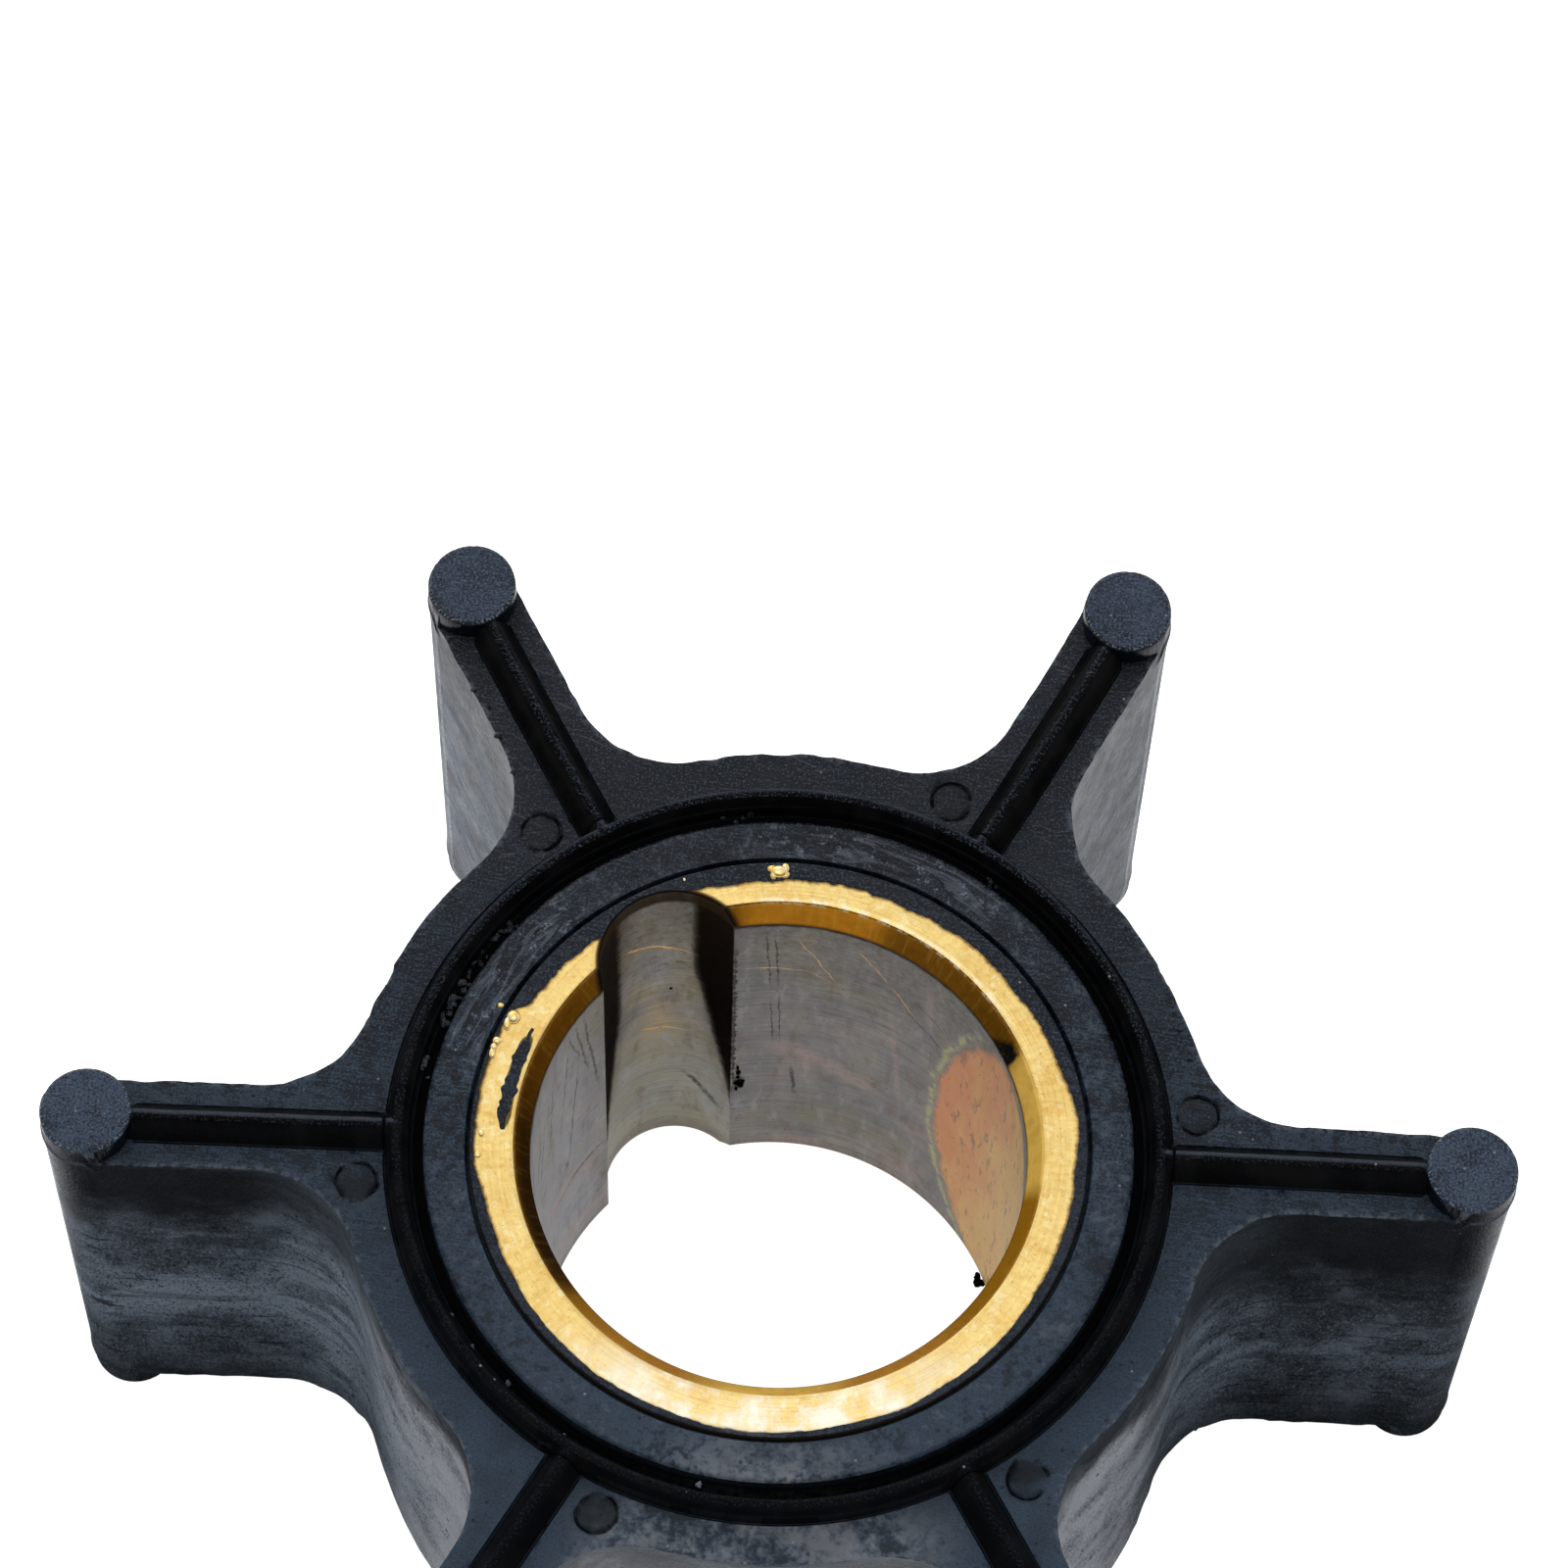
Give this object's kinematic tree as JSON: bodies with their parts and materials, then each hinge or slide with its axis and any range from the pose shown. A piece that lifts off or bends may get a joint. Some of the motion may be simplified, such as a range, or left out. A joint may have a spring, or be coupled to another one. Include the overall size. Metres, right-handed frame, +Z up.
{
  "type": "rubber pump impeller",
  "caption": "Flexible rubber water-pump impeller with straight bulb-tipped vanes around a hub, bonded to a brass bush with a keyed bore.",
  "frame": {"origin": "on the bore axis, in the plane of the lower bulb ends that the impeller stands on", "axes": "+Z up along the bore axis, +X along one vane; the keyway lies towards the vane at 120 degrees, counted from +X to +Y"},
  "size_m": [0.066, 0.0576, 0.0304],
  "materials": {
    "rubber": "moulded black rubber, satin, with flow lines, fine specks and a ragged flash edge",
    "brass": "bright machined end faces, dull greyed bore with fine turning lines and a copper-coloured patch"
  },
  "bodies": {
    "root": {"rubber_impeller": "rubber", "brass_bush": "brass"}
  },
  "joints": []
}
